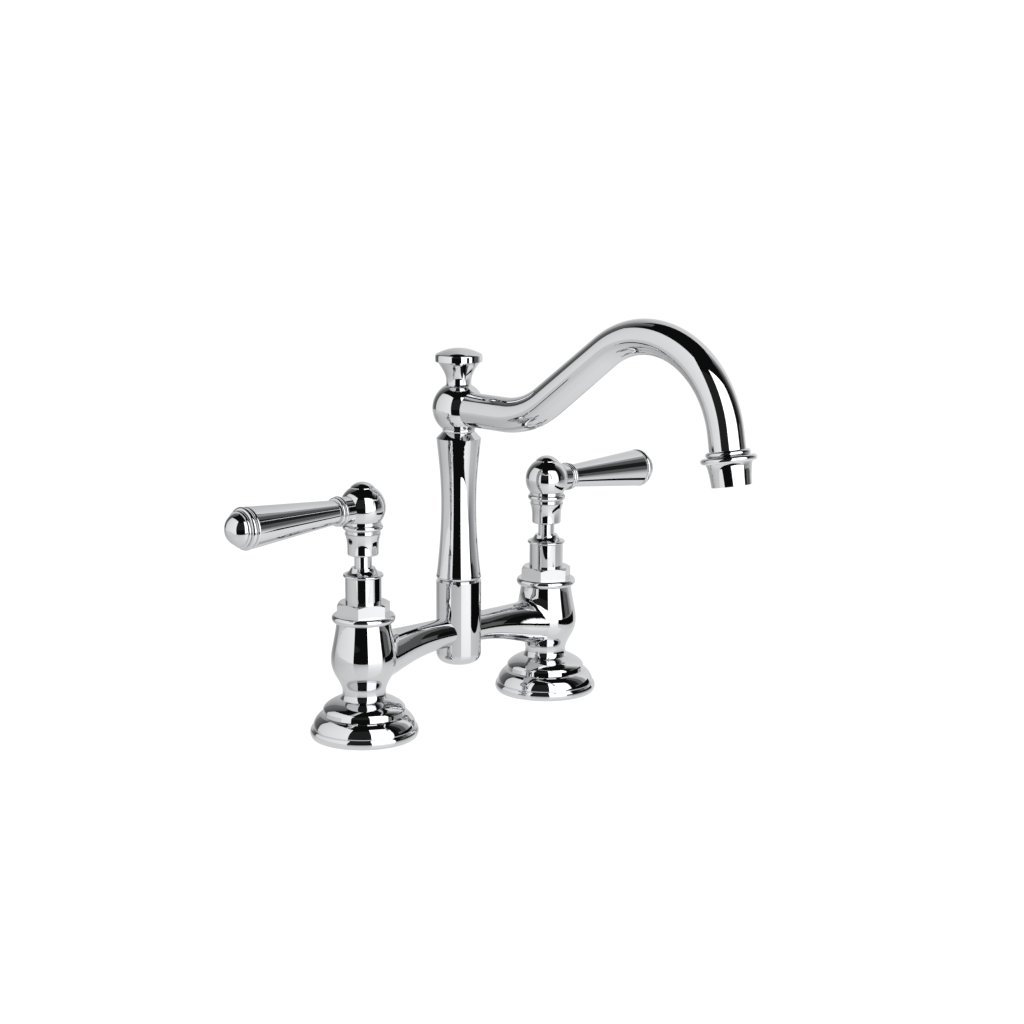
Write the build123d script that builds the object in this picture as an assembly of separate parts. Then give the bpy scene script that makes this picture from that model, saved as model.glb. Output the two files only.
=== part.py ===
from build123d import *
import os

# Bridge kitchen faucet for two deck holes, in millimetres, +Z up. The origin lies on the
# worktop, midway between the two pillars. The bridge runs along X, the spout reaches towards
# -Y, and each quarter-turn lever points outwards when it is closed.

# Layout
centres = 160.0  # distance between the two pillars
slip = 0.05  # radial clearance of parts that turn in each other
fit = 0.03  # radial clearance of threads and pressed spigots
rest_gap = 0.3  # clearance between curved pieces that turn past each other

# Base flange, a spun bell that covers the deck hole
flange_r = 34.4
flange_height = 24.4
flange_wall = 2.2
flange_shelf = 3.6  # flat round the boss, under the dome
foot_bead_height = 5.6
foot_groove = 0.7
ovolo_top_r = 28.2
ovolo_top_z = 13.9
riser_r = 26.5
riser_z = 14.7
dome_r = 26.1
dome_z = 17.2
gasket_height = 1.6
gasket_width = 4.5

# Pillar, a cast vase with its half of the bridge
vase_foot_r = 15.2
vase_waist_r = 13.7
vase_waist_rise = 4.4
vase_belly_r = 20.7
vase_belly_rise = 25.8
vase_top_r = 17.0
vase_height = 49.6
boss_r = 12.2
boss_depth = 6.0
seat_rise = 19.6  # valve seat above the flange
chamber_r = 12.2
chamber_height = 17.0

# Bridge arm
arm_rise = 30.0  # arm axis above the flange
arm_end_r = 9.9
arm_root_drop = 21.5  # underside of the arm below its axis, inside the vase
arm_root_width = 36.0
arm_taper = 52.2  # from the pillar's axis to where the arm is a plain bar
arm_bore_r = 6.0
arm_spigot_r = 8.0
arm_spigot_length = 3.2
arm_blend = 7.5

# Threaded tails and what clamps the worktop
thread_r = 10.48  # G 1/2, for the tails and the valves
tail_bore_r = 7.5
tail_depth = 62.0
tail_engagement = 17.0
worktop = 30.0
washer_r = 24.0
washer_hole_r = 11.0
rubber_thickness = 3.0
steel_thickness = 2.0
back_nut_flats = 27.0
back_nut_height = 9.0

# Valve headwork
ring_r = 20.0
ring_height = 4.5
hex_flats = 30.4
hex_height = 8.0
hex_turns = {"left": 40.0, "right": 26.0}  # corner direction, as each nut came to rest
cartridge_r = 9.6
disc_r = 7.6
disc_thickness = 2.6
disc_port_r = 2.1
disc_port_offset = 4.2
seal_height = 2.0
spindle_r = 5.45
spindle_head_height = 4.5
tang_width = 4.0
tang_height = 1.3
window_width = 8.0
window_height = 4.0
neck_r = 9.0
sleeve_r = 11.35
sleeve_height = 16.0
collar_r = 12.7
collar_height = 1.9
gland_top_r = 7.5
gland_height = 4.0
gland_spigot = 4.0
oring_r = 0.8

# Lever hub: skirt, bead and ball turned from one bar
stem_show = 8.0  # spindle seen between gland and skirt
skirt_r = 9.75
skirt_straight = 3.4
skirt_height = 13.7
skirt_top_r = 11.4
hub_groove_r = 10.9
hub_bead_r = 12.7
hub_bead_rise = 17.8
hub_bead_height = 3.8
hub_neck_r = 11.5
hub_neck_rise = 22.2
knuckle_r = 14.4
knuckle_rise = 30.0
spline_r = 4.0
spline_length = 12.0
skirt_recess = 3.0
cap_r = 7.4
cap_crown = 3.2
cap_stem_r = 3.5
cap_stem_length = 6.0
grub_r = 1.9
grub_length = 5.2
hub_grub_rise = 9.6

# Lever
lever_droop = 1.2  # degrees below level
lever_boss_r = 8.5
lever_boss_reach = 17.6
root_bead_r = 9.5
root_bead_width = 2.3  # of each of the two
grip_root_r = 7.45
grip_end_r = 12.7
grip_length = 65.9
grip_stud_r = 4.0
grip_stud_length = 10.0
end_bead_r = 13.1
end_bead_width = 4.2
end_step_r = 10.4
end_step_width = 1.8
end_dome_r = 8.7
end_dome_length = 8.2
end_spigot_r = 5.0
end_spigot_length = 8.0

# Centre hub and column
hub_r = 14.75
hub_below_arm = 21.2
hub_above_arm = 33.9
hub_edge = 7.0
hub_bore_r = 10.8
hub_floor = 8.0
column_spigot_length = 15.0
column_neck_r = 12.4
column_neck_height = 1.1
column_bead_r = 14.7
column_bead_height = 3.2
column_root_r = 14.4
column_waist_r = 11.4
column_top_r = 14.5
column_height = 98.1
column_chamfer = 4.2
column_rim_wall = 1.5  # wall left round the socket at the very top
column_bore_r = 7.4
socket_r = 9.0
socket_depth = 19.0
lock_drop = 2.4  # grub screw that keeps the spout down, below the top
lock_turn = 16.0  # and its direction, clockwise from the front

# Spout: ball, tube and finial
ball_r = 17.0
ball_rise = 15.2  # ball centre above the column
ball_foot_r = 10.6
ball_foot_height = 2.6
bearing_height = 0.8
groove_depth = 1.3
spigot_ring_rise = 3.0
spigot_ring_pitch = 5.0
spigot_bore_r = 6.0
tube_r = 11.0
tube_end_r = 10.5  # drawn in along the slope
tube_wall = 1.1
tube_socket = 5.0
tube_run = 43.0
rise_radius = 67.0
rise_angle = 35.3
slope_length = 58.8
crook_radius = 60.0
crook_angle = 114.9
drop_length = 10.1
finial_foot_r = 8.5
finial_waist_r = 8.0
finial_rim_r = 15.2
finial_rim_height = 5.3
finial_rim_lip = 1.0
finial_edge = 1.8
finial_flare_height = 15.2
finial_crown = 3.5
finial_stud_r = 3.9
finial_stud_length = 9.0

# Outlet
outlet_bead_r = 12.8
outlet_bead_width = 3.2
outlet_ring_r = 16.0
outlet_ring_width = 3.6
nozzle_root_r = 13.4
nozzle_r = 11.5
nozzle_length = 13.2
outlet_seat = 6.0  # how far the tube goes into the collar
aerator_r = 9.2
aerator_height = 8.0
aerator_wall = 1.5
aerator_floor = 2.0
aerator_recess = 1.2
washer_height = 1.6
washer_width = 2.0
jet_r = 0.9
jet_circle_r = 5.6
jet_count = 8

half = centres / 2

# Heights that follow
seat_z = flange_height + seat_rise
arm_z = flange_height + arm_rise
vase_top = flange_height + vase_height
ring_top = vase_top + ring_height
hex_top = ring_top + hex_height
sleeve_top = hex_top + sleeve_height
gland_base = sleeve_top + collar_height
gland_top = gland_base + gland_height
skirt_z = gland_top + stem_show
knuckle_z = skirt_z + knuckle_rise
hub_top = arm_z + hub_above_arm
column_top = hub_top + column_height
column_rim_r = socket_r + column_rim_wall
ball_z = column_top + ball_rise
cartridge_base = seat_z + seal_height
disc_top = cartridge_base + 2 * disc_thickness + slip
head_top = disc_top + spindle_head_height
nozzle_end = outlet_bead_width + outlet_ring_width + nozzle_length
aerator_depth = aerator_recess + aerator_height + washer_height
lock_z = column_top - lock_drop
lock_r = column_rim_r + (column_top_r - column_rim_r) * lock_drop / column_chamfer


def turned(*edges):
    """Turn a closed outline of (radius, height) about the vertical axis."""
    return revolve(Plane.XZ * make_face(list(edges)), Axis.Z)


def rod(radius, bottom, top):
    """A vertical round bar between two heights."""
    return Pos(0, 0, bottom) * Cylinder(radius, top - bottom, align=(Align.CENTER, Align.CENTER, Align.MIN))


def tube(outer, inner, bottom, top):
    """A vertical ring between two heights."""
    return rod(outer, bottom, top) - rod(inner, bottom, top)


def along_x(radius, start, end, height):
    """A level round bar along X between two places."""
    bar = Cylinder(radius, end - start, align=(Align.CENTER, Align.CENTER, Align.MIN))
    return Pos(start, 0, height) * Rot(0, 90, 0) * bar


def hexagon(flats, bottom, top, turn):
    """A hexagon nut blank with its top corners turned off at 30 degrees."""
    corner = flats / 3**0.5
    blank = Pos(0, 0, bottom) * extrude(RegularPolygon(corner, 6, rotation=turn), top - bottom)
    drop = (corner + 1 - flats / 2) / 3**0.5
    cone = turned(
        Polyline((0, bottom), (corner + 1, bottom), (corner + 1, top - drop), (flats / 2, top), (0, top), close=True)
    )
    return blank & cone


# Base flange and gasket
def base_flange():
    foot_r = flange_r - 0.9
    groove_r = foot_r - foot_groove
    groove_top = foot_bead_height + foot_groove
    across = dome_r - vase_foot_r
    rise = flange_height - dome_z
    shoulder = Spline(
        (dome_r, dome_z), (vase_foot_r + 0.83 * across, dome_z + 0.39 * rise),
        (vase_foot_r + 0.44 * across, dome_z + 0.77 * rise), (vase_foot_r, flange_height),
        tangents=[(-0.2, 1), (-1, 0.25)],
    )
    outline = [
        Line((0, 0), (foot_r, 0)),
        ThreePointArc((foot_r, 0), (flange_r, foot_bead_height / 2), (foot_r, foot_bead_height)),
        Polyline((foot_r, foot_bead_height), (groove_r, foot_bead_height), (groove_r, groove_top)),
        ThreePointArc(
            (groove_r, groove_top),
            (0.5 * (groove_r + ovolo_top_r) + 0.6, 0.5 * (groove_top + ovolo_top_z) + 0.5),
            (ovolo_top_r, ovolo_top_z),
        ),
        Polyline((ovolo_top_r, ovolo_top_z), (riser_r, riser_z), (dome_r, dome_z)),
        shoulder,
        Polyline((vase_foot_r, flange_height), (0, flange_height), (0, 0)),
    ]
    inner_r = foot_r - flange_wall
    hollow = turned(
        Polyline((0, 0), (inner_r, 0), (inner_r, gasket_height), (inner_r - 1.4, gasket_height),
                 (riser_r - flange_wall, ovolo_top_z - flange_wall),
                 (dome_r - flange_wall - 0.6, dome_z - 0.4),
                 (boss_r + flange_shelf, flange_height - flange_wall - 0.4),
                 (0, flange_height - flange_wall - 0.4), close=True)
    )
    return turned(*outline) - hollow - rod(boss_r + fit, 0, flange_height)


def flange_gasket():
    outer = flange_r - 0.9 - flange_wall - fit
    return tube(outer, outer - gasket_width, 0, gasket_height)


# Pillar with its bridge arm, which runs along +X here
def vase():
    """The spun body: waist, flank up to the belly, long draw in to the top."""
    z = flange_height
    swell = vase_belly_r - vase_waist_r
    lift = vase_belly_rise - vase_waist_rise
    flank = [
        (vase_waist_r + out * swell, z + vase_waist_rise + up * lift)
        for out, up in ((0.17, 0.22), (0.57, 0.47), (0.91, 0.73))
    ]
    draw = vase_belly_r - vase_top_r
    rest = vase_height - vase_belly_rise
    shoulder = [
        (vase_belly_r - inward * draw, z + vase_belly_rise + up * rest)
        for inward, up in ((0.36, 0.39), (0.76, 0.72))
    ]
    side = Spline(
        (vase_foot_r, z), (vase_waist_r, z + vase_waist_rise), *flank,
        (vase_belly_r, z + vase_belly_rise), *shoulder, (vase_top_r, vase_top),
    )
    body = turned(
        Line((0, z), (vase_foot_r, z)), side, Polyline((vase_top_r, vase_top), (0, vase_top), (0, z))
    )
    return Rot(0, 0, 180) * body


def arm_section(reach, deeper, wider):
    """One section of the arm: level along the top, a share deeper and wider towards the vase."""
    low = arm_end_r + deeper * (arm_root_drop - arm_end_r)
    half_width = arm_end_r + wider * (arm_root_width / 2 - arm_end_r)
    middle = arm_z + (arm_end_r - low) / 2
    plane = Plane(origin=(reach, 0, middle), x_dir=(0, 1, 0), z_dir=(1, 0, 0))
    return plane * Ellipse(half_width, (arm_end_r + low) / 2)


def pillar():
    reach = half - hub_r
    shares = ((0.1125, 1.0, 1.0), (0.4625, 0.61, 0.5), (0.725, 0.285, 0.15), (1.0, 0.045, 0.01))
    sections = [arm_section(along * arm_taper, deeper, wider) for along, deeper, wider in shares]
    arm = loft(sections + [arm_section(half, 0, 0)])
    body = vase() + arm
    seam = [e for e in body.edges() if e.geom_type == GeomType.BSPLINE]
    seam = [e for e in seam if 0 < (e @ 0.5).X < vase_belly_r + arm_blend and 0 < (e @ 0).X]
    body = fillet(seam, arm_blend)
    hub = Pos(half, 0, 0) * rod(hub_r, arm_z - 2 * hub_r, arm_z + 2 * hub_r)
    body = body - hub + along_x(arm_spigot_r, reach - 2, reach + arm_spigot_length, arm_z)
    body += rod(boss_r, flange_height - boss_depth, flange_height + 1)
    tail_seat = flange_height - boss_depth + tail_engagement
    waterway = rod(thread_r + fit, flange_height - boss_depth, tail_seat) + rod(arm_bore_r, tail_seat, seat_z)
    chamber = rod(chamber_r, seat_z, seat_z + chamber_height) + rod(thread_r + fit, seat_z, vase_top)
    return body - waterway - chamber - along_x(arm_bore_r, 0, half, arm_z)


# Under the worktop
def tail():
    top = flange_height - boss_depth + tail_engagement
    return tube(thread_r, tail_bore_r, -tail_depth, top)


def rubber_washer():
    return tube(washer_r, washer_hole_r, -worktop - rubber_thickness, -worktop)


def steel_washer():
    top = -worktop - rubber_thickness
    return tube(washer_r, washer_hole_r, top - steel_thickness, top)


def back_nut():
    """The nut that clamps the worktop, with its turned corners facing down."""
    nut = hexagon(back_nut_flats, 0, back_nut_height, 0) - rod(thread_r + fit, 0, back_nut_height)
    return Pos(0, 0, -worktop - rubber_thickness - steel_thickness) * Rot(180, 0, 0) * nut


# Valve
def seat_seal():
    return tube(disc_r, arm_bore_r, seat_z, cartridge_base)


def ceramic_disc(bottom):
    """A ceramic disc with two opposite ports."""
    disc = rod(disc_r, bottom, bottom + disc_thickness)
    for place in PolarLocations(disc_port_offset, 2):
        disc -= place * rod(disc_port_r, bottom, bottom + disc_thickness)
    return disc


def fixed_disc():
    return ceramic_disc(cartridge_base)


def turning_disc():
    """The upper disc, a quarter turn from open, with the slot that the spindle drives."""
    bottom = cartridge_base + disc_thickness + slip
    slot_z = bottom + disc_thickness - tang_height / 2
    slot = Pos(0, 0, slot_z) * Box(tang_width + 2 * slip, 2 * disc_r, tang_height)
    return Rot(0, 0, 90) * (ceramic_disc(bottom) - slot)


def valve_bonnet(turn):
    """Ring, hexagon and threaded body in one turning, which holds the discs and spindle."""
    edge = 1.2
    ring = turned(
        Line((0, vase_top), (ring_r - edge, vase_top)),
        ThreePointArc((ring_r - edge, vase_top), (ring_r, vase_top + 0.45 * ring_height), (ring_r - edge, ring_top)),
        Polyline((ring_r - edge, ring_top), (0, ring_top), (0, vase_top)),
    )
    body = ring + hexagon(hex_flats, ring_top, hex_top, turn)
    body += rod(thread_r, seat_z + chamber_height, vase_top)
    body += rod(cartridge_r, cartridge_base, vase_top)
    body += rod(neck_r, hex_top, gland_base - gland_spigot)
    room = rod(disc_r + slip, cartridge_base, head_top + rest_gap)
    bearing = rod(spindle_r + slip, cartridge_base, gland_base)
    window = Pos(0, 0, disc_top + window_height / 2) * Box(window_width, 2 * chamber_r, window_height)
    return body - room - bearing - window


def sleeve():
    """The plain cover above the hexagon, with a thin collar round its top."""
    half_collar = collar_height / 2
    collar = turned(
        Line((0, sleeve_top), (sleeve_r, sleeve_top)),
        ThreePointArc((sleeve_r, sleeve_top), (collar_r, sleeve_top + half_collar), (sleeve_r, gland_base)),
        Polyline((sleeve_r, gland_base), (0, gland_base), (0, sleeve_top)),
    )
    return rod(sleeve_r, hex_top, sleeve_top) + collar - rod(neck_r + fit, hex_top, gland_base)


def gland_nut():
    """The coned nut that closes the headwork round the spindle."""
    nut = turned(
        Line((0, gland_base), (sleeve_r - 0.4, gland_base)),
        ThreePointArc(
            (sleeve_r - 0.4, gland_base),
            (0.62 * gland_top_r + 0.38 * sleeve_r, gland_base + 0.42 * gland_height),
            (gland_top_r, gland_top),
        ),
        Polyline((gland_top_r, gland_top), (0, gland_top), (0, gland_base)),
    )
    nut += rod(neck_r, gland_base - gland_spigot, gland_base)
    return nut - rod(spindle_r + slip, gland_base - gland_spigot, gland_top)


def spindle():
    ring_z = hex_top + sleeve_height / 2
    stem = rod(disc_r - slip, disc_top, head_top) + rod(spindle_r, head_top, skirt_z + skirt_recess)
    stem += rod(spline_r, skirt_z + skirt_recess, skirt_z + skirt_recess + spline_length)
    tang_box = Box(tang_width, 2 * disc_r - 2, tang_height - slip, align=(Align.CENTER, Align.CENTER, Align.MAX))
    tang = Pos(0, 0, disc_top) * Rot(0, 0, 90) * tang_box
    room = tube(spindle_r + 1, spindle_r - groove_depth, ring_z - oring_r, ring_z + oring_r)
    return stem + tang - room


def spindle_oring():
    height = hex_top + sleeve_height / 2
    minor = (groove_depth + slip) / 2 - 0.01
    return Pos(0, 0, height) * Torus(spindle_r - groove_depth + minor + 0.005, minor)


# Lever, which points along -X here
def lever_hub():
    z = skirt_z
    foot = skirt_r - 1.0
    bead_z = z + hub_bead_rise - hub_bead_height / 2
    bead_top = bead_z + hub_bead_height
    outline = [
        Line((0, z), (foot, z)),
        ThreePointArc((foot, z), (skirt_r - 0.29, z + 0.29), (skirt_r, z + 1)),
        Line((skirt_r, z + 1), (skirt_r, z + skirt_straight)),
        Spline(
            (skirt_r, z + skirt_straight), (0.76 * skirt_r + 0.24 * skirt_top_r, z + 0.7 * skirt_height),
            (skirt_top_r, z + skirt_height), tangents=[(0, 1), (0.45, 1)],
        ),
        Polyline((skirt_top_r, z + skirt_height), (hub_groove_r, z + skirt_height + 0.3), (hub_groove_r, bead_z)),
        ThreePointArc((hub_groove_r, bead_z), (hub_bead_r, z + hub_bead_rise), (hub_neck_r, bead_top)),
        Line((hub_neck_r, bead_top), (hub_neck_r, z + hub_neck_rise)),
        Polyline((hub_neck_r, z + hub_neck_rise), (hub_neck_r - 1.5, knuckle_z), (0, knuckle_z), (0, z)),
    ]
    hub = turned(*outline) + Pos(0, 0, knuckle_z) * Sphere(knuckle_r)
    hub += lever_rod(lever_boss_r, 0, lever_boss_reach)
    cap_seat = knuckle_z + (knuckle_r**2 - cap_r**2) ** 0.5
    recess_top = skirt_z + skirt_recess
    hub -= rod(cap_r + 1, cap_seat, knuckle_z + knuckle_r + 1)
    hub -= rod(cap_stem_r + fit, cap_seat - cap_stem_length - 1, cap_seat)
    hub -= rod(spindle_r + 1.5, skirt_z, recess_top)
    hub -= rod(spline_r + fit, recess_top, recess_top + spline_length + 1)
    hub -= lever_rod(grip_stud_r + fit, lever_boss_reach - grip_stud_length - 1, lever_boss_reach)
    return hub - along_x(grub_r + fit, -skirt_r - 1, 0, skirt_z + hub_grub_rise)


def hub_cap():
    seat = knuckle_z + (knuckle_r**2 - cap_r**2) ** 0.5
    crown = turned(
        Line((0, seat), (cap_r, seat)),
        Line((cap_r, seat), (cap_r, seat + 0.5)),
        TangentArc((0, seat + 0.5 + cap_crown), (cap_r, seat + 0.5), tangent=(1, 0)),
        Line((0, seat + 0.5 + cap_crown), (0, seat)),
    )
    return crown + rod(cap_stem_r, seat - cap_stem_length, seat)


def hub_grub_screw():
    return along_x(grub_r, -skirt_r + 0.8, -skirt_r + 0.8 + grub_length - 0.3, skirt_z + hub_grub_rise)


def about_lever(shape):
    """Lay a shape made about the vertical along the lever, out towards -X and drooping a little."""
    return Pos(0, 0, knuckle_z) * Rot(0, -90 - lever_droop, 0) * shape


def lever_rod(radius, start, end):
    """A round bar along the lever's axis between two distances from the pillar's axis."""
    return about_lever(rod(radius, start, end))


def lever_grip():
    """Two thin beads at the root, then the long taper."""
    start = lever_boss_reach
    second = start + root_bead_width
    grip_start = second + root_bead_width
    end = grip_start + grip_length
    foot_r = root_bead_r - root_bead_width / 2
    outline = [
        Line((0, start), (foot_r, start)),
        ThreePointArc((foot_r, start), (root_bead_r, start + root_bead_width / 2), (foot_r, second)),
        ThreePointArc((foot_r, second), (root_bead_r - 0.4, second + root_bead_width / 2), (foot_r - 0.3, grip_start)),
        Polyline((foot_r - 0.3, grip_start), (grip_root_r, grip_start), (grip_end_r, end - 1.5)),
        ThreePointArc((grip_end_r, end - 1.5), (grip_end_r - 0.35, end - 0.45), (grip_end_r - 1.3, end)),
        Polyline((grip_end_r - 1.3, end), (0, end), (0, start)),
    ]
    stud = lever_rod(grip_stud_r, start - grip_stud_length, start + 1)
    return about_lever(turned(*outline)) + stud - lever_rod(end_spigot_r + fit, end - end_spigot_length - 1, end)


def lever_end():
    start = lever_boss_reach + 2 * root_bead_width + grip_length
    step = start + end_bead_width
    dome = step + end_step_width
    outline = [
        Line((0, start), (end_bead_r - 1.6, start)),
        ThreePointArc((end_bead_r - 1.6, start), (end_bead_r, start + end_bead_width / 2), (end_bead_r - 1.6, step)),
        Line((end_bead_r - 1.6, step), (end_step_r, step)),
        ThreePointArc((end_step_r, step), (end_step_r - 0.25, step + 1.1), (end_dome_r + 0.6, dome)),
        Line((end_dome_r + 0.6, dome), (end_dome_r, dome)),
        TangentArc((0, dome + end_dome_length), (end_dome_r, dome), tangent=(1, 0)),
        Line((0, dome + end_dome_length), (0, start)),
    ]
    return about_lever(turned(*outline)) + lever_rod(end_spigot_r, start - end_spigot_length, start + 1)


# Centre of the bridge
def centre_hub():
    bottom = arm_z - hub_below_arm
    shell = rod(hub_r, bottom, hub_top)
    shell = fillet(shell.edges().group_by(Axis.Z)[0], hub_edge)
    shell -= rod(hub_bore_r, bottom + hub_floor, hub_top)
    return shell - along_x(arm_spigot_r + fit, -hub_r - 1, hub_r + 1, arm_z)


def centre_column():
    root = hub_top + column_neck_height
    bead_top = root + column_bead_height
    shoulder = column_top - column_chamfer
    rise = shoulder - bead_top
    outline = [
        Line((0, hub_top), (column_neck_r, hub_top)),
        Line((column_neck_r, hub_top), (column_neck_r, root)),
        ThreePointArc((column_neck_r, root), (column_bead_r, root + column_bead_height / 2), (column_root_r, bead_top)),
        Spline(
            (column_root_r, bead_top), (0.43 * column_root_r + 0.57 * column_waist_r, bead_top + 0.185 * rise),
            (column_waist_r, bead_top + 0.5 * rise),
            (0.23 * column_top_r + 0.77 * column_waist_r, bead_top + 0.735 * rise), (column_top_r, shoulder),
            tangents=[(-0.13, 1), (0.11, 1)],
        ),
        Line((column_top_r, shoulder), (column_rim_r, column_top)),
        Polyline((column_rim_r, column_top), (0, column_top), (0, hub_top)),
    ]
    column = turned(*outline) + rod(hub_bore_r - fit, hub_top - column_spigot_length, hub_top + 1)
    ring_z = hub_top - column_spigot_length / 2
    column -= tube(hub_bore_r + 1, hub_bore_r - fit - groove_depth, ring_z - oring_r, ring_z + oring_r)
    column -= rod(column_bore_r, hub_top - column_spigot_length, column_top)
    column -= rod(socket_r, column_top - socket_depth, column_top)
    return column - Rot(0, 0, 90 - lock_turn) * along_x(grub_r + fit, -column_top_r - 1, 0, lock_z)


def column_oring():
    minor = (groove_depth + fit) / 2 - 0.01
    major = hub_bore_r - fit - groove_depth + minor + 0.005
    return Pos(0, 0, hub_top - column_spigot_length / 2) * Torus(major, minor)


def column_grub_screw():
    end = -socket_r + groove_depth - rest_gap
    return Rot(0, 0, 90 - lock_turn) * along_x(grub_r, 0.5 - lock_r, end, lock_z)


# Spout
def spout_path():
    """Axis of the tube from the ball's centre: run, rise, slope, crook and drop."""
    plane = Plane(origin=(0, 0, ball_z), x_dir=(0, -1, 0), z_dir=(-1, 0, 0))
    run = Line((0, 0), (tube_run, 0))
    rise = JernArc(run @ 1, run % 1, rise_radius, rise_angle)
    slope = PolarLine(rise @ 1, slope_length, direction=rise % 1)
    crook = JernArc(slope @ 1, slope % 1, crook_radius, -crook_angle)
    drop = PolarLine(crook @ 1, drop_length + outlet_seat, direction=crook % 1)
    return [plane * piece for piece in (run, rise, slope, crook, drop)]


def spout_solid(shrink):
    """The tube as a full bar, thinner all over by the given amount."""
    run, rise, slope, crook, drop = spout_path()

    def disc(path, end, radius):
        return Plane(origin=path @ end, x_dir=(1, 0, 0), z_dir=path % end) * Circle(radius - shrink)

    level = Rot(0, 0, 90) * along_x(tube_r - shrink, -tube_run, -ball_socket(), ball_z)
    bar = level + sweep(disc(rise, 0, tube_r), rise)
    bar += loft([disc(slope, 0, tube_r), disc(slope, 1, tube_end_r)])
    bar += sweep(disc(crook, 0, tube_end_r), crook)
    return bar + sweep(disc(drop, 0, tube_end_r), drop)


def spout_tube():
    return spout_solid(0) - spout_solid(tube_wall)


def ball_socket():
    """How far from the ball's centre the end of the tube stands."""
    return (ball_r**2 - tube_r**2) ** 0.5 - tube_socket


def spout_ball():
    """The ball with its foot and the spigot that turns in the column."""
    finial_seat = ball_z + (ball_r**2 - finial_foot_r**2) ** 0.5
    spigot_r = socket_r - slip
    groove_r = spigot_r - groove_depth
    foot_z = column_top + bearing_height
    spigot_base = column_top - socket_depth + rest_gap
    ball = Pos(0, 0, ball_z) * Sphere(ball_r)
    ball -= rod(ball_r, finial_seat, ball_z + ball_r + 1)
    ball -= rod(ball_r, ball_z - ball_r - 1, foot_z)
    ball += rod(ball_foot_r, foot_z, foot_z + ball_foot_height)
    ball += rod(spigot_r, spigot_base, ball_z - tube_r)
    for height in spigot_ring_heights():
        ball -= tube(socket_r + 1, groove_r, height - oring_r, height + oring_r)
    ball -= tube(socket_r + 1, groove_r, lock_z - grub_r - rest_gap, lock_z + grub_r + rest_gap)
    ball -= rod(spigot_bore_r, spigot_base, ball_z)
    ball -= rod(finial_stud_r + fit, finial_seat - finial_stud_length - rest_gap, finial_seat)
    ball -= Rot(0, 0, 90) * along_x(tube_r + fit, -ball_r, -ball_socket(), ball_z)
    return ball - Rot(0, 0, 90) * along_x(tube_r - tube_wall, -ball_r, 0, ball_z)


def spigot_ring_heights():
    lower = column_top - socket_depth + spigot_ring_rise
    return [lower, lower + spigot_ring_pitch]


def spigot_orings():
    """Two O-rings that seal the turning spigot."""
    minor = groove_depth / 2
    major = socket_r - slip - groove_depth + minor
    first, second = [Pos(0, 0, height) * Torus(major, minor) for height in spigot_ring_heights()]
    return Compound([first, second])


def bearing_ring():
    return tube(column_rim_r - 0.5, socket_r, column_top, column_top + bearing_height - slip)


def finial():
    seat = ball_z + (ball_r**2 - finial_foot_r**2) ** 0.5
    rim = seat + finial_flare_height
    rim_top = rim + finial_rim_height
    flare = finial_rim_r - finial_rim_lip - finial_waist_r
    edge = JernArc((finial_rim_r, rim_top - finial_edge), (0, 1), finial_edge, 62)
    outline = [
        Line((0, seat), (finial_foot_r, seat)),
        Line((finial_foot_r, seat), (finial_waist_r, seat + 0.8)),
        Spline(
            (finial_waist_r, seat + 0.8), (finial_waist_r + 0.08 * flare, seat + 0.38 * finial_flare_height),
            (finial_waist_r + 0.58 * flare, seat + 0.79 * finial_flare_height),
            (finial_waist_r + flare, rim), tangents=[(0, 1), (1, 0.9)],
        ),
        Polyline((finial_waist_r + flare, rim), (finial_rim_r - 0.3, rim), (finial_rim_r, rim + 0.3)),
        Line((finial_rim_r, rim + 0.3), edge @ 0),
        edge,
        TangentArc((0, rim_top + finial_crown), edge @ 1, tangent=(1, 0)),
        Line((0, rim_top + finial_crown), (0, seat)),
    ]
    return turned(*outline) + rod(finial_stud_r, seat - finial_stud_length, seat + 1)


# Outlet, modelled along its own axis from where the collar meets the tube
def at_outlet(shape):
    drop = spout_path()[4]
    down = drop % 1
    return Plane(origin=drop @ 1 - down * outlet_seat, x_dir=(1, 0, 0), z_dir=down) * shape


def outlet_collar():
    """Two beads and a drawn-in nozzle, soldered over the end of the tube."""
    ring = outlet_bead_width
    nozzle = ring + outlet_ring_width
    end = nozzle + nozzle_length
    ring_foot_r = outlet_ring_r - outlet_ring_width / 2
    outline = [
        Line((0, 0), (outlet_bead_r - 1.5, 0)),
        ThreePointArc((outlet_bead_r - 1.5, 0), (outlet_bead_r, ring / 2), (outlet_bead_r - 1.0, ring)),
        Line((outlet_bead_r - 1.0, ring), (ring_foot_r, ring)),
        ThreePointArc((ring_foot_r, ring), (outlet_ring_r, ring + outlet_ring_width / 2), (ring_foot_r, nozzle)),
        Line((ring_foot_r, nozzle), (nozzle_root_r, nozzle)),
        Spline((nozzle_root_r, nozzle), (nozzle_r + 0.7, nozzle + 0.35 * nozzle_length), (nozzle_r, end),
               tangents=[(-0.5, 1), (-0.03, 1)]),
        Polyline((nozzle_r, end), (0, end), (0, 0)),
    ]
    collar = turned(*outline) - rod(tube_end_r + fit, 0, outlet_seat)
    collar -= rod(tube_end_r - tube_wall, 0, end)
    return at_outlet(collar - rod(aerator_r + fit, end - aerator_depth, end))


def aerator_washer():
    top = nozzle_end - aerator_depth
    return at_outlet(tube(aerator_r, aerator_r - washer_width, top, top + washer_height))


def aerator():
    """The screw-in stream former, a cup with rings of jets across its mouth."""
    end = nozzle_end - aerator_recess
    start = end - aerator_height
    floor = end - aerator_floor
    cup = rod(aerator_r, start, end) - rod(aerator_r - aerator_wall, start, floor)
    for ring_r, count in ((jet_circle_r, jet_count), (jet_circle_r / 2, jet_count // 2)):
        for place in PolarLocations(ring_r, count):
            cup -= place * rod(jet_r, floor, end)
    return at_outlet(cup)


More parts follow.
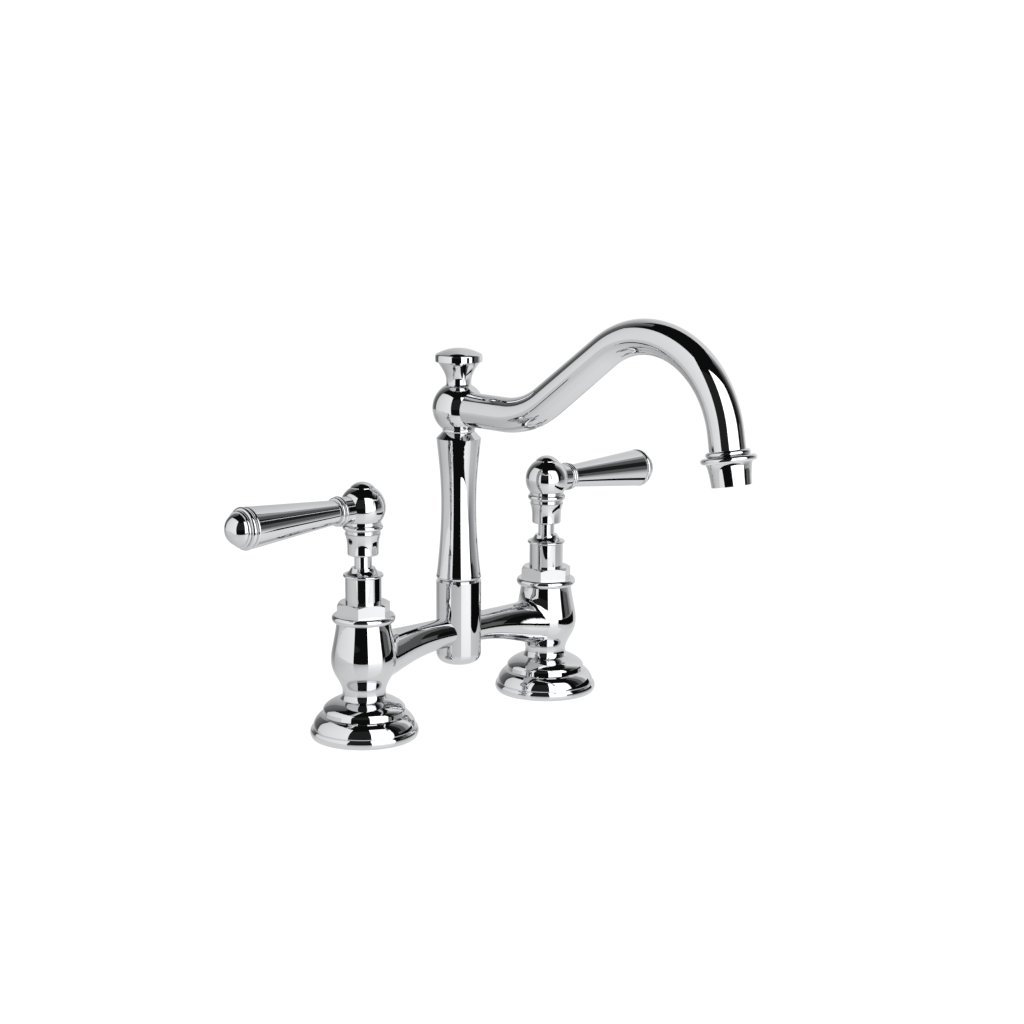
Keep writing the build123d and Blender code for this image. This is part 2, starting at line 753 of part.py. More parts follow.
def main():
    os.makedirs("parts", exist_ok=True)
    paired = {
        "base_flange": base_flange(),
        "flange_gasket": flange_gasket(),
        "pillar": pillar(),
        "tail": tail(),
        "rubber_washer": rubber_washer(),
        "steel_washer": steel_washer(),
        "back_nut": back_nut(),
        "seat_seal": seat_seal(),
        "fixed_disc": fixed_disc(),
        "turning_disc": turning_disc(),
        "sleeve": sleeve(),
        "gland_nut": gland_nut(),
        "spindle": spindle(),
        "spindle_oring": spindle_oring(),
        "lever_hub": lever_hub(),
        "hub_cap": hub_cap(),
        "hub_grub_screw": hub_grub_screw(),
        "lever_grip": lever_grip(),
        "lever_end": lever_end(),
    }
    for side in ("left", "right"):
        pieces = dict(paired, valve_bonnet=valve_bonnet(hex_turns[side]))
        for name, piece in pieces.items():
            placed = Pos(-half, 0, 0) * piece
            if side == "right":
                placed = mirror(placed, about=Plane.YZ)
            export_step(placed, f"parts/{side}_{name}.step")
    single = {
        "centre_hub": centre_hub(),
        "centre_column": centre_column(),
        "column_oring": column_oring(),
        "column_grub_screw": column_grub_screw(),
        "bearing_ring": bearing_ring(),
        "spout_ball": spout_ball(),
        "spigot_orings": spigot_orings(),
        "finial": finial(),
        "spout_tube": spout_tube(),
        "outlet_collar": outlet_collar(),
        "aerator_washer": aerator_washer(),
        "aerator": aerator(),
    }
    for name, piece in single.items():
        export_step(piece, f"parts/{name}.step")


main()
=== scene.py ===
import math

import bmesh
import bpy
from mathutils import Matrix, Vector


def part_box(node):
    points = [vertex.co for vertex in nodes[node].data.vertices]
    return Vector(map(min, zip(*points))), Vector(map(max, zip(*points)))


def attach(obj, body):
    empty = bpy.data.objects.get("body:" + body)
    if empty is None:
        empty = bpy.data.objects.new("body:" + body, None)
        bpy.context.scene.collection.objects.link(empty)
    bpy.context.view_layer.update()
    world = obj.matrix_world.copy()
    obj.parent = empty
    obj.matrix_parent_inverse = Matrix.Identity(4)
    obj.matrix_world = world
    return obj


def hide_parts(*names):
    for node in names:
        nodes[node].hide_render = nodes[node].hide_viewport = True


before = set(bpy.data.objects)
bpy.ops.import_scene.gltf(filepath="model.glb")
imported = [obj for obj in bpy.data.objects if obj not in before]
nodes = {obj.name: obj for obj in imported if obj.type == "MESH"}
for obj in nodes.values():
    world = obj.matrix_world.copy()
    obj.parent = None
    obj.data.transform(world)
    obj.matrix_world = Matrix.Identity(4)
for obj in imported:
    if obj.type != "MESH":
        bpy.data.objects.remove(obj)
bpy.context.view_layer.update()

scene = bpy.context.scene

# Camera
# The photograph's own viewpoint, solved from the two identical pillars: a normal lens, a little
# to the left of the spout and above the levers.
photo_size, focal_length = 1024.0, 1900.0  # both in pixels
camera_data = bpy.data.cameras.new("camera")
camera_data.sensor_width = 36.0
camera_data.lens = focal_length * camera_data.sensor_width / photo_size
camera_data.clip_start = 0.01
camera_data.clip_end = 100.0
camera = bpy.data.objects.new("camera", camera_data)
scene.collection.objects.link(camera)
turn, tilt, roll = math.radians(-43.5), math.radians(10.55), math.radians(0.32)
back = Vector((math.sin(turn) * math.cos(tilt), -math.cos(turn) * math.cos(tilt), math.sin(tilt)))
level = Vector((math.cos(turn), math.sin(turn), 0.0))
upright = back.cross(level)
right = level * math.cos(roll) + upright * math.sin(roll)
up = upright * math.cos(roll) - level * math.sin(roll)
distance = 1.241
aim, aim_pixel = Vector((0.0, 0.0, 0.1)), (458.74, 562.4)
across = (aim_pixel[0] - photo_size / 2) * distance / focal_length
above = (photo_size / 2 - aim_pixel[1]) * distance / focal_length
place = aim - right * across - up * above + back * distance
camera.matrix_world = Matrix((
    (right.x, up.x, back.x, place.x),
    (right.y, up.y, back.y, place.y),
    (right.z, up.z, back.z, place.z),
    (0.0, 0.0, 0.0, 1.0),
))
scene.camera = camera

# Studio
# A glossy white table glowing with painted pools of light and shade, large soft panels at its left and
# right, pale walls behind, a low dark sheet beside the faucet that only paints a dark reflection into
# the low chrome on the right, and a dark room above and between them: that is what the chrome mirrors.
# The floor that the camera sees is plain white and isn't mirrored.
scene.view_settings.view_transform = "Standard"
scene.view_settings.look = "None"

toward = Vector((math.sin(turn), -math.cos(turn), 0.0))


def staged_sheet(name, corners):
    """Make a flat glowing sheet between four corners, hidden from the camera and from shadows; returns
    its node tree and its glow.
    """
    shape = bmesh.new()
    shape.faces.new([shape.verts.new(corner) for corner in corners])
    data = bpy.data.meshes.new(name)
    shape.to_mesh(data)
    shape.free()
    sheet = bpy.data.objects.new(name, data)
    scene.collection.objects.link(sheet)
    sheet.visible_camera = False
    sheet.visible_shadow = False
    material = bpy.data.materials.new(name)
    material.use_nodes = True
    work = material.node_tree
    work.nodes.clear()
    surface = work.nodes.new("ShaderNodeOutputMaterial")
    glow = work.nodes.new("ShaderNodeEmission")
    work.links.new(glow.outputs[0], surface.inputs["Surface"])
    data.materials.append(material)
    return work, glow


def upright_panel(name, start, end, bottom, top, strength, start_strength=None):
    """Stand a panel between two plan places, each (towards the camera, to its right).

    It glows with one strength, or fades from start_strength at its start to strength at its end.
    """
    left_foot = toward * start[0] + level * start[1]
    right_foot = toward * end[0] + level * end[1]
    low, high = Vector((0.0, 0.0, bottom)), Vector((0.0, 0.0, top))
    corners = [left_foot + low, right_foot + low, right_foot + high, left_foot + high]
    work, glow = staged_sheet(name, corners)
    glow.inputs["Strength"].default_value = strength
    if start_strength is not None:
        run = right_foot - left_foot
        where = work.nodes.new("ShaderNodeTexCoord")
        along = work.nodes.new("ShaderNodeVectorMath")
        along.operation = "DOT_PRODUCT"
        along.inputs[1].default_value = run / run.length
        work.links.new(where.outputs["Object"], along.inputs[0])
        fade = work.nodes.new("ShaderNodeMapRange")
        fade.inputs["From Min"].default_value = left_foot.dot(run) / run.length
        fade.inputs["From Max"].default_value = right_foot.dot(run) / run.length
        fade.inputs["To Min"].default_value = start_strength
        fade.inputs["To Max"].default_value = strength
        work.links.new(along.outputs["Value"], fade.inputs["Value"])
        work.links.new(fade.outputs[0], glow.inputs["Strength"])


upright_panel("right_panel", (0.80, 0.20), (0.51, 1.16), -0.10, 1.27, 2.4)
upright_panel("right_panel_edge", (0.51, 1.16), (0.50, 1.34), -0.10, 1.20, 0.12, 2.2)
upright_panel("left_panel", (-0.80, -1.60), (0.95, -0.62), -0.30, 1.50, 1.24, 0.89)
upright_panel("gap", (0.95, -0.62), (0.80, 0.20), 0.17, 1.00, 0.022)
upright_panel("back_wall", (-1.20, 0.00), (-0.90, 1.40), -0.05, 2.10, 1.05, 0.80)
upright_panel("back_wall_left", (-1.30, -0.90), (-1.20, 0.00), -0.05, 2.10, 0.78, 0.38)
upright_panel("side_wall", (-0.90, 1.40), (-0.52, 1.60), -0.05, 2.40, 0.36, 0.55)
upright_panel("side_wall_shade", (-0.52, 1.60), (-0.12, 1.60), -0.05, 2.40, 0.12, 0.14)
upright_panel("side_low", (-0.12, 1.60), (0.20, 1.52), -0.05, 0.45, 0.12, 0.18)
upright_panel("side_high", (-0.12, 1.60), (0.20, 1.52), 0.45, 1.90, 0.018)
# A low dark sheet the camera doesn't see: it paints a dark reflection into the low chrome on the right.
upright_panel("painted_dark_reflection_sheet", (-0.18, 0.23), (0.11, 0.23), -0.0005, 0.043, 0.004)
upright_panel("far_corner", (-1.30, -0.90), (-0.80, -1.60), -0.05, 3.00, 0.07, 0.24)

table_front, table_back, table_left, table_right = 0.40, -1.6, -1.6, 1.8
table_height, table_glow_strength = -0.001, 0.87
table_roughness, table_index = 0.06, 1.49
table_plan = (
    (table_front, table_left), (table_front, table_right),
    (table_back, table_right), (table_back, table_left),
)
table_work, table_glow = staged_sheet("table", [
    toward * near + level * side + Vector((0.0, 0.0, table_height)) for near, side in table_plan
])
# Light and shade on the table: the place (towards, to the right), the radius and how much brighter.
table_pools = (
    (0.26, 0.27, 0.55, 0.45),
    (-0.32, -0.30, 0.55, -0.34),
    (0.33, 0.88, 0.62, -0.48),
)
table_light = None
for near, side, radius, gain in table_pools:
    where = table_work.nodes.new("ShaderNodeTexCoord")
    centred = table_work.nodes.new("ShaderNodeMapping")
    centre = toward * near + level * side
    centred.inputs["Location"].default_value = -centre / radius
    centred.inputs["Scale"].default_value = (1.0 / radius, 1.0 / radius, 1.0 / radius)
    pool = table_work.nodes.new("ShaderNodeTexGradient")
    pool.gradient_type = "SPHERICAL"
    table_work.links.new(where.outputs["Object"], centred.inputs["Vector"])
    table_work.links.new(centred.outputs[0], pool.inputs["Vector"])
    total = table_work.nodes.new("ShaderNodeMath")
    total.operation = "MULTIPLY_ADD"
    total.inputs[1].default_value = gain
    total.inputs[2].default_value = table_glow_strength
    table_work.links.new(pool.outputs["Fac"], total.inputs[0])
    if table_light is not None:
        table_work.links.new(table_light, total.inputs[2])
    table_light = total.outputs[0]
table_work.links.new(table_light, table_glow.inputs["Strength"])
# The table is glossy, so at a low angle it mirrors the panels and the dark between them.
table_gloss = table_work.nodes.new("ShaderNodeBsdfGlossy")
table_gloss.inputs["Roughness"].default_value = table_roughness
table_angle = table_work.nodes.new("ShaderNodeFresnel")
table_angle.inputs["IOR"].default_value = table_index
table_top = table_work.nodes.new("ShaderNodeMixShader")
table_work.links.new(table_angle.outputs[0], table_top.inputs[0])
table_work.links.new(table_glow.outputs[0], table_top.inputs[1])
table_work.links.new(table_gloss.outputs[0], table_top.inputs[2])
table_work.links.new(table_top.outputs[0], table_work.nodes["Material Output"].inputs["Surface"])

floor_reach = 12.0
floor_mesh = bmesh.new()
bmesh.ops.create_grid(floor_mesh, x_segments=1, y_segments=1, size=floor_reach)
floor_data = bpy.data.meshes.new("floor")
floor_mesh.to_mesh(floor_data)
floor_mesh.free()
floor = bpy.data.objects.new("floor", floor_data)
scene.collection.objects.link(floor)
floor.visible_glossy = False
white = bpy.data.materials.new("white_floor")
white.use_nodes = True
white_shader = white.node_tree.nodes["Principled BSDF"]
white_shader.inputs["Base Color"].default_value = (0.12, 0.12, 0.12, 1.0)
white_shader.inputs["Roughness"].default_value = 0.9
white_shader.inputs["Specular IOR Level"].default_value = 0.0
white_shader.inputs["Emission Color"].default_value = (1.0, 1.0, 1.0, 1.0)
white_shader.inputs["Emission Strength"].default_value = 1.0
floor_data.materials.append(white)

# The room is white where the camera sees it and dark where the chrome mirrors it.
room_as_mirrored, room_as_seen = 0.006, 1.05
world = bpy.data.worlds.new("studio")
scene.world = world
world.use_nodes = True
room = world.node_tree
room.nodes.clear()
room_output = room.nodes.new("ShaderNodeOutputWorld")
backdrop = room.nodes.new("ShaderNodeBackground")
backdrop.inputs["Color"].default_value = (1.0, 1.0, 1.0, 1.0)
ray = room.nodes.new("ShaderNodeLightPath")
brightness = room.nodes.new("ShaderNodeMapRange")
brightness.inputs["To Min"].default_value = room_as_mirrored
brightness.inputs["To Max"].default_value = room_as_seen
room.links.new(ray.outputs["Is Camera Ray"], brightness.inputs["Value"])
room.links.new(brightness.outputs[0], backdrop.inputs["Strength"])
room.links.new(backdrop.outputs[0], room_output.inputs["Surface"])

# Base flanges
# Two brass bells spun over a form, which cover the deck holes, each on a rubber gasket. They are
# buffed to a mirror and chrome plated; what is left of the spinning is a breath of rings.


def effect(name, inputs, outputs):
    """Start a shader node group with named inputs, each of a kind and value, and outputs."""
    group = bpy.data.node_groups.new(name, "ShaderNodeTree")
    for label, kind, value in inputs:
        socket = group.interface.new_socket(label, in_out="INPUT", socket_type="NodeSocket" + kind)
        socket.default_value = value
    for label in outputs:
        group.interface.new_socket(label, in_out="OUTPUT", socket_type="NodeSocketFloat")
    return group, group.nodes.new("NodeGroupInput").outputs, group.nodes.new("NodeGroupOutput").inputs


def noise(work, vector, size, detail):
    """A noise texture on a vector, with the given scale (a number or a socket) and detail."""
    texture = work.nodes.new("ShaderNodeTexNoise")
    texture.inputs["Detail"].default_value = detail
    work.links.new(vector, texture.inputs["Vector"])
    if isinstance(size, float):
        texture.inputs["Scale"].default_value = size
    else:
        work.links.new(size, texture.inputs["Scale"])
    return texture.outputs["Fac"]


def ranged(work, socket, low, high, start=0.0, end=1.0):
    """Map a mask from start..end to low..high."""
    spread = work.nodes.new("ShaderNodeMapRange")
    spread.inputs["From Min"].default_value = start
    spread.inputs["From Max"].default_value = end
    spread.inputs["To Min"].default_value = low
    spread.inputs["To Max"].default_value = high
    work.links.new(socket, spread.inputs["Value"])
    return spread.outputs[0]


# Buffing leaves broad low waves and, much finer, a haze that lies unevenly.
buffing, given, made = effect(
    "buffing", [("Vector", "Vector", (0, 0, 0)), ("Waves", "Float", 40.0), ("Specks", "Float", 420.0)],
    ["Wave", "Haze"],
)
buffing.links.new(noise(buffing, given["Vector"], given["Waves"], 1.0), made["Wave"])
specks = noise(buffing, given["Vector"], given["Specks"], 4.0)
buffing.links.new(ranged(buffing, specks, 0.0, 1.0, 0.36, 0.74), made["Haze"])

# A tool leaves lines side by side along the axis about which the piece turned.
tool_lines, given, made = effect(
    "tool_lines", [("Vector", "Vector", (0, 0, 0)), ("Along", "Vector", (0, 0, 1000))], ["Line"]
)
packed = tool_lines.nodes.new("ShaderNodeVectorMath")
packed.operation = "MULTIPLY"
tool_lines.links.new(given["Vector"], packed.inputs[0])
tool_lines.links.new(given["Along"], packed.inputs[1])
tool_lines.links.new(noise(tool_lines, packed.outputs[0], 1.0, 2.0), made["Line"])


def material_of(name, metallic):
    """A material, its node tree and its shader."""
    new = bpy.data.materials.new(name)
    new.use_nodes = True
    shader = new.node_tree.nodes["Principled BSDF"]
    shader.inputs["Metallic"].default_value = metallic
    return new, new.node_tree, shader


def placed(work, group, **values):
    """Place an effect in a material on Object coordinates, with its own values."""
    where = work.nodes.new("ShaderNodeTexCoord")
    node = work.nodes.new("ShaderNodeGroup")
    node.node_tree = group
    work.links.new(where.outputs["Object"], node.inputs["Vector"])
    for label, value in values.items():
        node.inputs[label.title()].default_value = value
    return node.outputs


def blended(work, socket, first, second):
    """Blend two colours by a mask."""
    mix = work.nodes.new("ShaderNodeMix")
    mix.data_type = "RGBA"
    mix.inputs["A"].default_value = (*first, 1.0)
    mix.inputs["B"].default_value = (*second, 1.0)
    work.links.new(socket, mix.inputs["Factor"])
    return mix.outputs["Result"]


def added(work, main, extra, share):
    """Add a share of one mask to another."""
    total = work.nodes.new("ShaderNodeMath")
    total.operation = "MULTIPLY_ADD"
    total.inputs[1].default_value = share
    work.links.new(extra, total.inputs[0])
    work.links.new(main, total.inputs[2])
    return total.outputs[0]


def raised(work, shader, socket, strength, depth):
    """Give a shader a bump from a height mask."""
    bump = work.nodes.new("ShaderNodeBump")
    bump.inputs["Strength"].default_value = strength
    bump.inputs["Distance"].default_value = depth
    work.links.new(socket, bump.inputs["Height"])
    work.links.new(bump.outputs["Normal"], shader.inputs["Normal"])


def chrome(name, light, deep, waves, ripple, sheen, along, lathe):
    """Mirror chrome on buffed brass, with faint tool lines.

    Two tints, the scale and strength of its waves, its least and most roughness, how densely the
    tool lines are packed on each axis, and their share in the bump.
    """
    new, work, shader = material_of(name, 1.0)
    buffed = placed(work, buffing, waves=waves)
    marks = placed(work, tool_lines, along=along)
    work.links.new(ranged(work, buffed["Haze"], *sheen), shader.inputs["Roughness"])
    work.links.new(blended(work, buffed["Wave"], light, deep), shader.inputs["Base Color"])
    raised(work, shader, added(work, buffed["Wave"], marks["Line"], lathe), ripple, 0.0002)
    return new


def dress(material, *names):
    """Give a material to nodes of the frame by name."""
    for name in names:
        nodes[name].data.materials.clear()
        nodes[name].data.materials.append(material)


def pair(*names):
    """The left and right nodes of each name."""
    return [side + "_" + name for name in names for side in ("left", "right")]


spun_chrome = chrome(
    "spun_chrome", light=(0.66, 0.665, 0.675), deep=(0.61, 0.616, 0.635), waves=38.0, ripple=0.10,
    sheen=(0.008, 0.030), along=(0.0, 0.0, 900.0), lathe=0.012,
)
dress(spun_chrome, *pair("base_flange"))

black_rubber, work, shader = material_of("black_rubber", 0.0)
stained = placed(work, buffing, waves=90.0, specks=2600.0)
work.links.new(blended(work, stained["Wave"], (0.012, 0.012, 0.013), (0.034, 0.033, 0.032)),
               shader.inputs["Base Color"])
work.links.new(ranged(work, stained["Haze"], 0.55, 0.80), shader.inputs["Roughness"])
shader.inputs["Specular IOR Level"].default_value = 0.3
raised(work, shader, stained["Haze"], 0.25, 0.00005)
dress(black_rubber, *pair("flange_gasket"))

# Pillars and bridge
# Each pillar is one brass casting with its half of the bridge, and the centre hub, turned from
# bar, joins the two. Castings are linished and buffed by hand, so their mirror waves a little more.
cast_chrome = chrome(
    "cast_chrome", light=(0.64, 0.645, 0.655), deep=(0.595, 0.60, 0.62), waves=30.0, ripple=0.20,
    sheen=(0.010, 0.036), along=(60.0, 60.0, 60.0), lathe=0.02,
)
dress(cast_chrome, *pair("pillar"))
turned_chrome = chrome(
    "turned_chrome", light=(0.64, 0.645, 0.655), deep=(0.605, 0.61, 0.63), waves=44.0, ripple=0.09,
    sheen=(0.008, 0.028), along=(0.0, 0.0, 1400.0), lathe=0.015,
)
dress(turned_chrome, "centre_hub")

# Tails and clamps
# Brass tubes with a half-inch pipe thread cut along them, which screw into the pillars and go
# down through the worktop; a rubber washer, a zinc plated steel washer and a brass nut clamp it.
thread_pitch, thread_steps = 0.0018143, 48
thread_crest, thread_root, thread_bore = 0.01048, 0.00935, 0.0075
# One tooth, as (radius, share of the pitch).
thread_tooth = ((thread_root, 0.0), (thread_root, 0.2), (thread_crest, 0.5), (thread_crest, 0.7))
thread_weld, thread_cut_slack = 1e-6, 1e-7

plain_brass, work, shader = material_of("plain_brass", 1.0)
tarnish = placed(work, buffing, waves=120.0, specks=900.0)
cut = placed(work, tool_lines, along=(0.0, 0.0, 2200.0))
work.links.new(blended(work, tarnish["Wave"], (0.80, 0.60, 0.30), (0.62, 0.44, 0.21)),
               shader.inputs["Base Color"])
work.links.new(ranged(work, added(work, tarnish["Haze"], cut["Line"], 0.5), 0.16, 0.40),
               shader.inputs["Roughness"])
raised(work, shader, cut["Line"], 0.3, 0.00003)

zinc_steel, work, shader = material_of("zinc_steel", 1.0)
spangle = placed(work, buffing, waves=260.0, specks=1500.0)
work.links.new(blended(work, spangle["Wave"], (0.62, 0.65, 0.68), (0.48, 0.50, 0.50)),
               shader.inputs["Base Color"])
work.links.new(ranged(work, spangle["Haze"], 0.26, 0.44), shader.inputs["Roughness"])
raised(work, shader, spangle["Haze"], 0.15, 0.00004)

dress(plain_brass, *pair("back_nut"))
dress(black_rubber, *pair("rubber_washer"))
dress(zinc_steel, *pair("steel_washer"))


def finished(name, shape, material):
    """Make a bmesh an object at the origin, with its normals outward and one material."""
    bmesh.ops.recalc_face_normals(shape, faces=shape.faces)
    data = bpy.data.meshes.new(name)
    shape.to_mesh(data)
    shape.free()
    data.materials.append(material)
    piece = bpy.data.objects.new(name, data)
    scene.collection.objects.link(piece)
    return piece


def ring_drawn_to(shape, ring, radius, centre):
    """Extrude an open ring of edges and set what it makes to a radius about a vertical axis."""
    drawn = bmesh.ops.extrude_edge_only(shape, edges=ring)["geom"]
    for vert in [part for part in drawn if isinstance(part, bmesh.types.BMVert)]:
        out = Vector((vert.co.x - centre, vert.co.y))
        out *= radius / out.length
        vert.co.x, vert.co.y = centre + out.x, out.y
    return [part for part in drawn if isinstance(part, bmesh.types.BMEdge)]


def threaded_tail(name, node):
    """A tube with a pipe thread: a toothed line spun once round while it climbs one pitch."""
    low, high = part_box(node)
    centre = (low[0] + high[0]) / 2
    shape = bmesh.new()
    line = []
    height = low[2] - 2 * thread_pitch
    while height < high[2] + 2 * thread_pitch:
        for radius, climb in thread_tooth:
            line.append(shape.verts.new((centre + radius, 0.0, height + climb * thread_pitch)))
        height += thread_pitch
    edges = [shape.edges.new(two) for two in zip(line, line[1:])]
    bmesh.ops.spin(shape, geom=line + edges, cent=(centre, 0.0, 0.0), axis=(0.0, 0.0, 1.0),
                   dvec=(0.0, 0.0, thread_pitch / thread_steps), angle=2 * math.pi, steps=thread_steps,
                   use_merge=False)
    bmesh.ops.remove_doubles(shape, verts=shape.verts, dist=thread_weld)
    ends = []
    for cut_height, outward in ((low[2], -1.0), (high[2], 1.0)):
        cut = bmesh.ops.bisect_plane(
            shape, geom=list(shape.verts) + list(shape.edges) + list(shape.faces),
            dist=thread_cut_slack, plane_co=(0.0, 0.0, cut_height), plane_no=(0.0, 0.0, outward),
            clear_outer=True,
        )["geom_cut"]
        rim = [part for part in cut if isinstance(part, bmesh.types.BMEdge)]
        ends.append(ring_drawn_to(shape, rim, thread_bore, centre))
    bmesh.ops.bridge_loops(shape, edges=ends[0] + ends[1])
    piece = finished(name, shape, plain_brass)
    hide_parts(node)
    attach(piece, "body")


for side in ("left", "right"):
    threaded_tail(side + "_threaded_tail", side + "_tail")

# Valves
# Bonnet, sleeve and gland nut are turned brass, chromed where they show. Inside are the two
# ceramic discs that open with a quarter turn, their rubber seals, and the brass spindle.
dress(turned_chrome, *pair("valve_bonnet", "sleeve", "gland_nut", "spindle"))
dress(black_rubber, *pair("seat_seal", "spindle_oring"))

white_ceramic, work, shader = material_of("white_ceramic", 0.0)
lapped = placed(work, buffing, waves=300.0, specks=3000.0)
work.links.new(blended(work, lapped["Wave"], (0.84, 0.83, 0.79), (0.78, 0.775, 0.74)),
               shader.inputs["Base Color"])
work.links.new(ranged(work, lapped["Haze"], 0.14, 0.30), shader.inputs["Roughness"])
dress(white_ceramic, *pair("fixed_disc", "turning_disc"))

# Lever hubs
# Skirt, bead and ball are turned in one piece. A cap is pressed into the top, and a headless
# screw with a hexagon socket, set just under the surface, holds the hub on the spindle.
dress(turned_chrome, *pair("lever_hub", "hub_cap"))

screw_sides = 24
socket_flats, socket_depth = 0.0020, 0.0016
screw_chamfer = 0.0003

dark_steel, work, shader = material_of("dark_steel", 1.0)
oiled = placed(work, buffing, waves=600.0, specks=3200.0)
work.links.new(blended(work, oiled["Wave"], (0.20, 0.20, 0.205), (0.13, 0.13, 0.135)),
               shader.inputs["Base Color"])
work.links.new(ranged(work, oiled["Haze"], 0.24, 0.42), shader.inputs["Roughness"])


def socket_screw(name, node, body, radius, length, head, outward):
    """A headless screw whose socket faces outward from head, standing for a node."""
    shape = bmesh.new()
    rim = bmesh.ops.create_circle(
        shape, cap_ends=False, radius=radius - screw_chamfer, segments=screw_sides,
    )
    ring = list({edge for vert in rim["verts"] for edge in vert.link_edges})

    def next_ring(edges, reach, drop):
        drawn = bmesh.ops.extrude_edge_only(shape, edges=edges)["geom"]
        for vert in [part for part in drawn if isinstance(part, bmesh.types.BMVert)]:
            around = math.atan2(vert.co.y, vert.co.x)
            size = reach(around) / math.hypot(vert.co.x, vert.co.y)
            vert.co = Vector((vert.co.x * size, vert.co.y * size, drop))
        return [part for part in drawn if isinstance(part, bmesh.types.BMEdge)]

    def hexagon(around):
        return socket_flats / 2 / math.cos((around + math.pi / 6) % (math.pi / 3) - math.pi / 6)

    mouth = next_ring(ring, hexagon, 0.0)
    floor_ring = next_ring(mouth, hexagon, -socket_depth)
    shoulder = next_ring(ring, lambda around: radius, -screw_chamfer)
    foot = next_ring(shoulder, lambda around: radius, -length)
    bmesh.ops.holes_fill(shape, edges=floor_ring + foot, sides=screw_sides)
    turned_to = Vector(outward).to_track_quat("Z", "Y").to_matrix().to_4x4()
    bmesh.ops.transform(shape, matrix=Matrix.Translation(head) @ turned_to, verts=shape.verts)
    piece = finished(name, shape, dark_steel)
    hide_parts(node)
    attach(piece, body)


for side, facing in (("left", -1.0), ("right", 1.0)):
    low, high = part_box(side + "_hub_grub_screw")
    radius, length = (high[2] - low[2]) / 2, high[0] - low[0]
    head = (low[0] if facing < 0 else high[0], 0.0, (low[2] + high[2]) / 2)
    socket_screw(
        side + "_hub_socket_screw", side + "_hub_grub_screw", side + "_lever", radius, length, head,
        (facing, 0.0, 0.0),
    )

# Lever handles
# A long taper with two thin beads at its root and a domed end, all turned and screwed together
# along the lever, so their faint tool lines run across it.
lever_chrome = chrome(
    "lever_chrome", light=(0.66, 0.665, 0.675), deep=(0.62, 0.625, 0.645), waves=36.0, ripple=0.10,
    sheen=(0.008, 0.028), along=(1400.0, 0.0, 0.0), lathe=0.015,
)
dress(lever_chrome, *pair("lever_grip"))

# The lever's end is one turning: a stud, the end bead, a step and a shallow dome. Its outline runs
# from the stud's foot to the tip, as (from the pillar's axis, along the lever; radius).
lever_droop = math.radians(1.2)
pillar_reach, knuckle_height = 0.080, 0.1464
end_stud, end_start, end_step, end_dome, end_tip = 0.0801, 0.0881, 0.0918, 0.0940, 0.1015
end_bead_radius, end_step_radius, end_dome_radius, end_stud_radius = 0.0131, 0.0114, 0.0102, 0.0050
bead_bulge, step_bulge, dome_bulge = 0.0014, 0.0005, 0.00208
bead_parts, step_parts, dome_parts, end_steps = 16, 8, 24, 96
end_weld, end_crease = 1e-7, math.radians(35.0)


def rounded(first, last, bulge, parts):
    """Points of an arc between two outline points, which stands a bulge out from their chord."""
    first, last = Vector(first), Vector(last)
    chord = last - first
    half = chord.length / 2
    radius = (half * half + bulge * bulge) / (2 * bulge)
    along, away = chord.normalized(), Vector((-chord.y, chord.x)).normalized()
    centre = (first + last) / 2 + away * (bulge - radius)
    spread = math.asin(half / radius)
    points = []
    for part in range(parts + 1):
        turn_by = spread * (1 - 2 * part / parts)
        points.append(centre + (away * math.cos(turn_by) - along * math.sin(turn_by)) * radius)
    return points


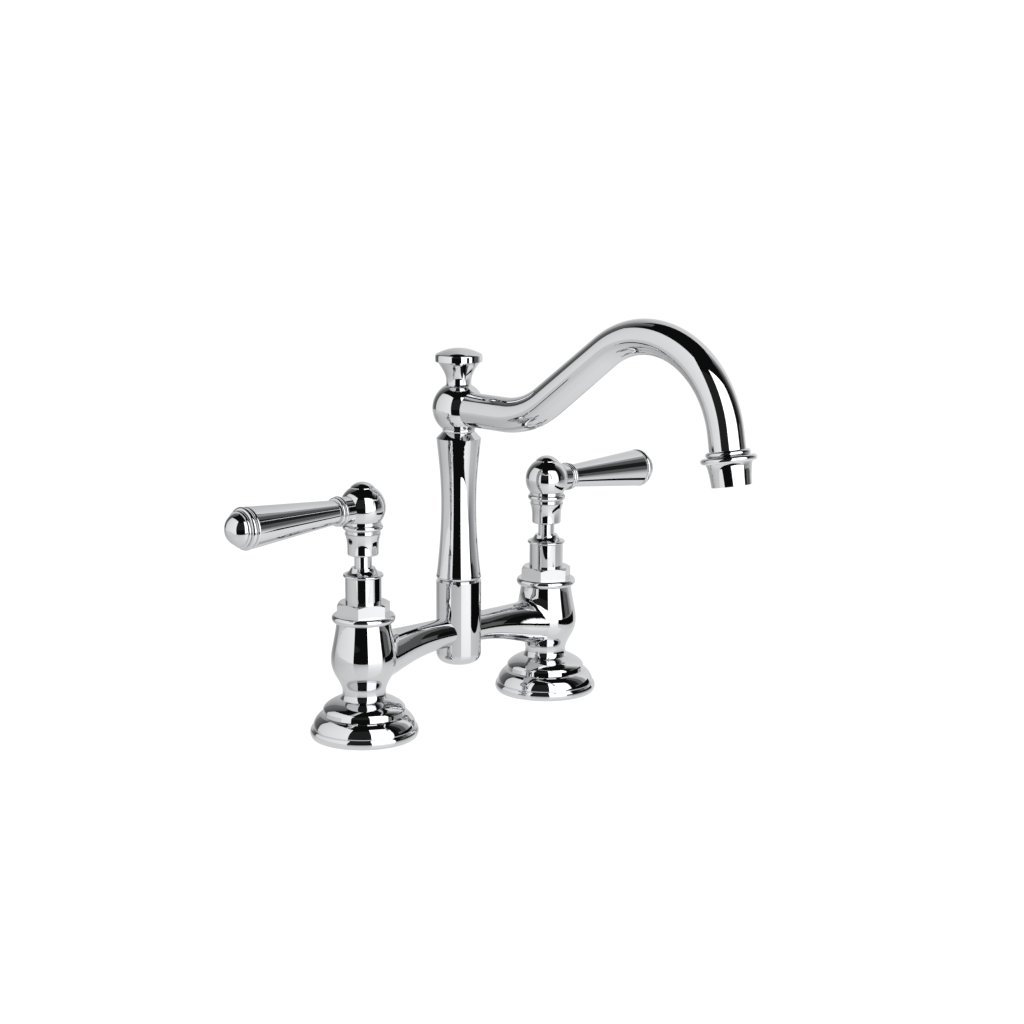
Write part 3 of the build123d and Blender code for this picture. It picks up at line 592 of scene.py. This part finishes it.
def domed_end(name, node, body, facing):
    """Spin the outline of a lever's end about the lever, which points to facing and droops."""
    bead_foot, step_foot = end_bead_radius - bead_bulge, end_step_radius - step_bulge
    stud = (end_stud, 0.0), (end_stud, end_stud_radius), (end_start, end_stud_radius)
    outline = [Vector(point) for point in stud]
    outline += rounded((end_start, bead_foot), (end_step, bead_foot), bead_bulge, bead_parts)
    outline += rounded((end_step, step_foot), (end_dome, step_foot), step_bulge, step_parts)
    outline += rounded((end_dome, end_dome_radius), (end_tip, 0.0), dome_bulge, dome_parts)
    outline[-1].y = 0.0
    shape = bmesh.new()
    line = [shape.verts.new((along, radius, 0.0)) for along, radius in outline]
    edges = [shape.edges.new(two) for two in zip(line, line[1:])]
    bmesh.ops.spin(shape, geom=line + edges, cent=(0.0, 0.0, 0.0), axis=(1.0, 0.0, 0.0),
                   dvec=(0.0, 0.0, 0.0), angle=2 * math.pi, steps=end_steps, use_merge=True)
    bmesh.ops.remove_doubles(shape, verts=shape.verts, dist=end_weld)
    lean = Matrix.Rotation(lever_droop, 4, "Y")
    facing_to = Matrix.Rotation(0.0 if facing > 0 else math.pi, 4, "Z")
    stand = Matrix.Translation((facing * pillar_reach, 0.0, knuckle_height))
    bmesh.ops.transform(shape, matrix=stand @ facing_to @ lean, verts=shape.verts)
    piece = finished(name, shape, lever_chrome)
    piece.data.shade_smooth()
    piece.data.set_sharp_from_angle(angle=end_crease)
    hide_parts(node)
    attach(piece, body)


for side, facing in (("left", -1.0), ("right", 1.0)):
    domed_end(side + "_domed_end", side + "_lever_end", side + "_lever", facing)

# Centre column
# The column stands in the hub on an O-ring. A second headless screw in its top chamfer runs in
# the groove of the spout's spigot and keeps the spout down; a plastic ring carries the ball.
dress(turned_chrome, "centre_column")
dress(black_rubber, "column_oring")

column_screw_radius, column_screw_length = 0.0019, 0.004286
column_screw_reach, column_screw_turn = 0.012286, math.radians(74.0)
low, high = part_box("column_grub_screw")
column_screw_way = Vector((-math.cos(column_screw_turn), -math.sin(column_screw_turn), 0.0))
socket_screw(
    "column_socket_screw", "column_grub_screw", "body", column_screw_radius, column_screw_length,
    column_screw_way * column_screw_reach + Vector((0.0, 0.0, (low[2] + high[2]) / 2)), column_screw_way,
)

pale_acetal, work, shader = material_of("pale_acetal", 0.0)
moulded = placed(work, buffing, waves=200.0, specks=1800.0)
work.links.new(blended(work, moulded["Wave"], (0.74, 0.74, 0.72), (0.68, 0.68, 0.665)),
               shader.inputs["Base Color"])
work.links.new(ranged(work, moulded["Haze"], 0.32, 0.48), shader.inputs["Roughness"])
raised(work, shader, moulded["Haze"], 0.1, 0.00003)
dress(pale_acetal, "bearing_ring")

# Spout
# The ball turns on its spigot, and the swan neck is drawn brass tube, bent, buffed and soldered
# into it; the draw leaves its waves long, along the tube. The finial screws onto the ball.
dress(turned_chrome, "spout_ball", "finial")
dress(black_rubber, "spigot_orings")
drawn_chrome = chrome(
    "drawn_chrome", light=(0.63, 0.635, 0.645), deep=(0.59, 0.596, 0.615), waves=22.0, ripple=0.10,
    sheen=(0.008, 0.030), along=(150.0, 12.0, 12.0), lathe=0.02,
)
dress(drawn_chrome, "spout_tube")

# Outlet
# Two beads and a drawn-in nozzle, turned in one piece and soldered over the end of the tube,
# with a screwed-in plastic aerator that sits on its rubber washer.
dress(turned_chrome, "outlet_collar")
dress(pale_acetal, "aerator")
dress(black_rubber, "aerator_washer")
